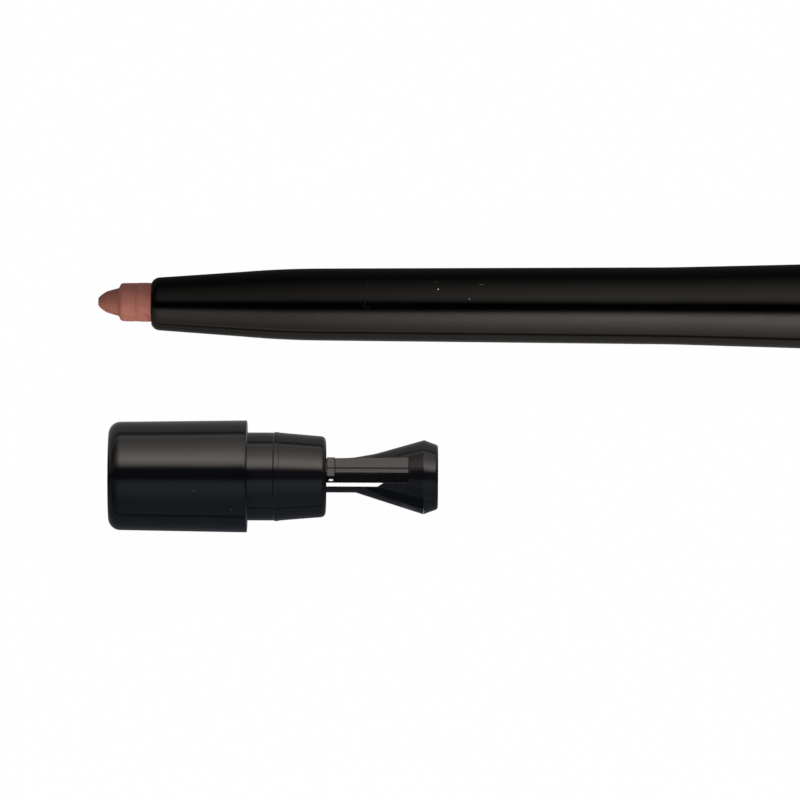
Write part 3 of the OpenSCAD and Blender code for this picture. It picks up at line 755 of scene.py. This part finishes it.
def softbox(name, centre, side, stops, tint, group, blockers, fade):
    """A long soft lamp beside a piece, as bright as the stops say at each angle from straight up."""
    lamp = bpy.data.lights.new(name, "AREA")
    lamp.shape = "RECTANGLE"
    lamp.size = BOX_LENGTH
    lamp.size_y = 2 * BOX_DISTANCE * math.tan(math.radians(BOX_HALF_SPREAD))
    # Cycles spreads an area lamp's power over its area, so this gives the nodes' strength as radiance
    lamp.energy = math.pi * lamp.size * lamp.size_y
    lamp.use_nodes = True
    glow = GlowTree(lamp.node_tree)
    out = glow.maths("MULTIPLY", glow.maths("SUBTRACT", glow.y, centre.y / MM), side)
    up = glow.maths("SUBTRACT", glow.z, centre.z / MM)
    degrees = glow.maths("MULTIPLY", glow.maths("ARCTAN2", out, up), HALF_TURN / math.pi)
    level = glow.curve(degrees, ((0, 0.0), *stops, (HALF_TURN, 0.0)))
    emission = lamp.node_tree.nodes["Emission"].inputs
    glow.put(emission["Strength"], glow.maths("MULTIPLY", level, glow.curve(glow.x, fade)))
    emission["Color"].default_value = (*tint, 1)
    tilt = math.radians(BOX_ANGLE)
    away = Vector((0, side * math.sin(tilt), math.cos(tilt)))
    along = Vector((side, 0, 0))
    box = placed(name, lamp)
    turn = Matrix((along, away.cross(along), away)).transposed().to_4x4()
    box.matrix_world = Matrix.Translation(centre + away * BOX_DISTANCE) @ turn
    box.visible_camera = False
    box.light_linking.receiver_collection = group
    box.light_linking.blocker_collection = blockers


def mirrored_floor(name, centre, side, stops, tint, group, height):
    """A strip just above the floor that only one piece's gloss mirrors, as bright as the stops say."""
    material = bpy.data.materials.new(name)
    material.use_nodes = True
    tree = material.node_tree
    tree.nodes.clear()
    glow = GlowTree(tree)
    out = glow.maths("MULTIPLY", glow.maths("SUBTRACT", glow.y, centre.y / MM), side)
    emission = tree.nodes.new("ShaderNodeEmission")
    emission.inputs["Color"].default_value = (*tint, 1)
    glow.put(emission.inputs["Strength"], glow.curve(out, stops))
    clear = tree.nodes.new("ShaderNodeBsdfTransparent")
    both = tree.nodes.new("ShaderNodeAddShader")
    glow.put(both.inputs[0], emission.outputs[0])
    glow.put(both.inputs[1], clear.outputs[0])
    glow.put(tree.nodes.new("ShaderNodeOutputMaterial").inputs["Surface"], both.outputs[0])
    material.cycles.emission_sampling = "NONE"
    near, far = centre.y, centre.y + side * STRIP_WIDTH
    left, right = centre.x - STRIP_HALF_LENGTH, centre.x + STRIP_HALF_LENGTH
    corners = [(left, near, height), (right, near, height), (right, far, height), (left, far, height)]
    strip = stage_piece(name, corners, [(0, 1, 2, 3)], material, group)
    for kind in ("camera", "diffuse", "transmission", "volume_scatter", "shadow"):
        setattr(strip, f"visible_{kind}", False)


def sun(name, strength, softness, tilt, group):
    """A very soft light from above, tilted to the -Y side. It lights a group and doesn't show in gloss."""
    lamp = bpy.data.lights.new(name, "SUN")
    lamp.energy = strength
    lamp.angle = softness
    made = placed(name, lamp)
    made.rotation_euler.x = tilt
    made.visible_glossy = False
    made.light_linking.receiver_collection = group


def studio_world():
    """The dim room above the lamps."""
    world = bpy.data.worlds.new("studio")
    world.use_nodes = True
    world.node_tree.nodes["Background"].inputs["Color"].default_value = CEILING
    bpy.context.scene.world = world


def stage_piece(name, corners, faces, material, mirrored_by):
    """A piece of the studio, whose own light shows in the pieces of that group."""
    mesh = bpy.data.meshes.new(name)
    mesh.from_pydata(corners, [], faces)
    mesh.materials.append(material)
    made = placed(name, mesh)
    made.light_linking.receiver_collection = mirrored_by
    return made


def floor(mirrored_by):
    half = FLOOR_SIZE / 2
    corners = [(-half, -half, 0), (half, -half, 0), (half, half, 0), (-half, half, 0)]
    paper = studio_white("floor_paper", FLOOR_OWN_WHITE)
    return stage_piece("floor", corners, [(0, 1, 2, 3)], paper, mirrored_by)


def backdrop(mirrored_by):
    """A low round wall far away, which joins the floor."""
    count = BACKDROP_SIDES
    corners = []
    for i in range(count):
        turn = 2 * math.pi * i / count
        x, y = BACKDROP_RADIUS * math.cos(turn), BACKDROP_RADIUS * math.sin(turn)
        corners += [(x, y, 0), (x, y, BACKDROP_HEIGHT)]
    total = len(corners)
    faces = [(2 * i, 2 * i + 1, (2 * i + 3) % total, (2 * i + 2) % total) for i in range(count)]
    return stage_piece("backdrop", corners, faces, studio_white("backdrop_paper", 1.0), mirrored_by)


def camera(mouth):
    """A camera straight above, framed so that the mouth falls on its pixel of the photograph."""
    data = bpy.data.cameras.new("camera")
    data.sensor_width = SENSOR_WIDTH
    data.lens = SENSOR_WIDTH * CAMERA_HEIGHT / (PHOTO_SIZE / PIXELS_PER_MM * MM)
    data.clip_start, data.clip_end = CAMERA_CLIP
    right = Vector((math.cos(CAMERA_ROLL), math.sin(CAMERA_ROLL), 0))
    up = Vector((-math.sin(CAMERA_ROLL), math.cos(CAMERA_ROLL), 0))
    middle = PHOTO_SIZE / 2
    across = (middle - MOUTH_PX[0]) / PIXELS_PER_MM * MM
    down = (middle - MOUTH_PX[1]) / PIXELS_PER_MM * MM
    view = placed("camera", data)
    view.location = mouth + right * across - up * down + Vector((0, 0, CAMERA_HEIGHT))
    view.rotation_euler.z = CAMERA_ROLL
    bpy.context.scene.camera = view

    def to_world(px):
        """The place above or below the mouth's height that a pixel of the photograph shows."""
        x, y = ((p - middle) / PIXELS_PER_MM * MM for p in px)
        return view.location + right * x - up * y

    return to_world


def middle_of(node):
    low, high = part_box(node)
    return (low + high) / 2


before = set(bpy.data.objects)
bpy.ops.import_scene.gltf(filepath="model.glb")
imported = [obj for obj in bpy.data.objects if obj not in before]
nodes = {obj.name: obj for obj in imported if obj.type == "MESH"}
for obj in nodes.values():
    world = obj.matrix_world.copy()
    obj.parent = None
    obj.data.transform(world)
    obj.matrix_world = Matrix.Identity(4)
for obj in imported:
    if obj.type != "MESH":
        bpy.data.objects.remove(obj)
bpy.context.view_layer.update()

for name, colour, gloss, seed, edge, node in BLACKS:
    dress(nodes, polished_black(name, colour, gloss, seed, edge), (node,))
dress(nodes, smoky_clear("smoky_clear"), ("sharpener",))
dress(nodes, natural_moulding("natural"), ("guide_tube", "spiral_sleeve", "push_rod", "lead_cup"))
dress(nodes, soft_rubber("seal_rubber"), ("drag_ring", "piston_ring"))
dress(nodes, spring_steel("spring_steel"), ("clip_ring",))

low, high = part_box("front_barrel")
mouth = Vector((low.x, (low.y + high.y) / 2, (low.z + high.z) / 2))
lead = worn_lead(nodes["gel_lead"], low.x)

to_world = camera(mouth)
barrel, shells = [nodes["front_barrel"]], [nodes["end_cap"], nodes["plug_collar"]]
hair, scuff = [(BARREL_HAIR, HAIR_RADIUS)], [(BARREL_SCUFF, SCUFF_RADIUS)]
barrel_dust = [
    dust("barrel_hair", "front", barrel, to_world, HAIR_PALENESS, hair, ()),
    dust("barrel_specks", "front", barrel, to_world, SPECK_PALENESS, scuff, BARREL_SPECKS),
    dust("barrel_crumbs", "front", barrel, to_world, BARREL_CRUMB_PALENESS, (), BARREL_CRUMBS),
]
plug_dust = dust("plug_crumbs", "plug", shells, to_world, PLUG_CRUMB_PALENESS, (), PLUG_CRUMBS)
pencil = [nodes[n] for n in PENCIL_NODES] + [lead, *barrel_dust]
plug = [nodes[n] for n in PLUG_NODES] + [plug_dust]
pencil_group = group_of("pencil_lit", pencil)
plug_group = group_of("plug_lit", plug)
# The smoky sharpener lets its own lamps through
shells_group = group_of("plug_shading", shells)
inner_group = group_of("mirrors_white", [nodes[n] for n in INNER_NODES])
paper = [floor(inner_group), backdrop(inner_group)]

studio_world()
sun("floor_light", FLOOR_LIGHT, LIGHT_SOFTNESS, 0.0, group_of("floor_lit", paper))
sun("fill_light", FILL_LIGHT, LIGHT_SOFTNESS, FILL_TILT, group_of("fill_lit", pencil + plug))
at_pencil = (middle_of("front_barrel"), pencil_group, pencil_group)
at_plug = (middle_of("plug_collar"), plug_group, shells_group)
LAMPS = (
    ("pencil_inner", at_pencil, -1, PENCIL_INNER, PENCIL_WARM, PENCIL_FADE, PENCIL_INNER_FLOOR, PENCIL_PALE),
    ("pencil_outer", at_pencil, 1, PENCIL_OUTER, PENCIL_PALE, PENCIL_FADE, PENCIL_OUTER_FLOOR, PENCIL_PALE),
    ("plug_inner", at_plug, 1, PLUG_INNER, PLUG_WARM, PLUG_INNER_FADE, PLUG_INNER_FLOOR, PLUG_PALE),
    ("plug_outer", at_plug, -1, PLUG_OUTER, PLUG_COOL, PLUG_OUTER_FADE, PLUG_OUTER_FLOOR, PLUG_COOL),
)
for i, (name, at, side, stops, tint, fade, floor_stops, floor_tint) in enumerate(LAMPS, start=1):
    centre, group, blockers = at
    softbox(name, centre, side, stops, tint, group, blockers, fade)
    # Each strip has its own height, because strips at one height hide each other
    mirrored_floor(f"{name}_floor", centre, side, floor_stops, floor_tint, group, i * STRIP_LIFT)
centre, group, blockers = at_pencil
softbox("pencil_side", centre, -1, PENCIL_SIDE, PENCIL_WARM, group, blockers, NO_FADE)
for piece in pencil + plug:
    # The pieces don't mirror each other
    piece.visible_glossy = False

bpy.context.scene.view_settings.view_transform = "Standard"
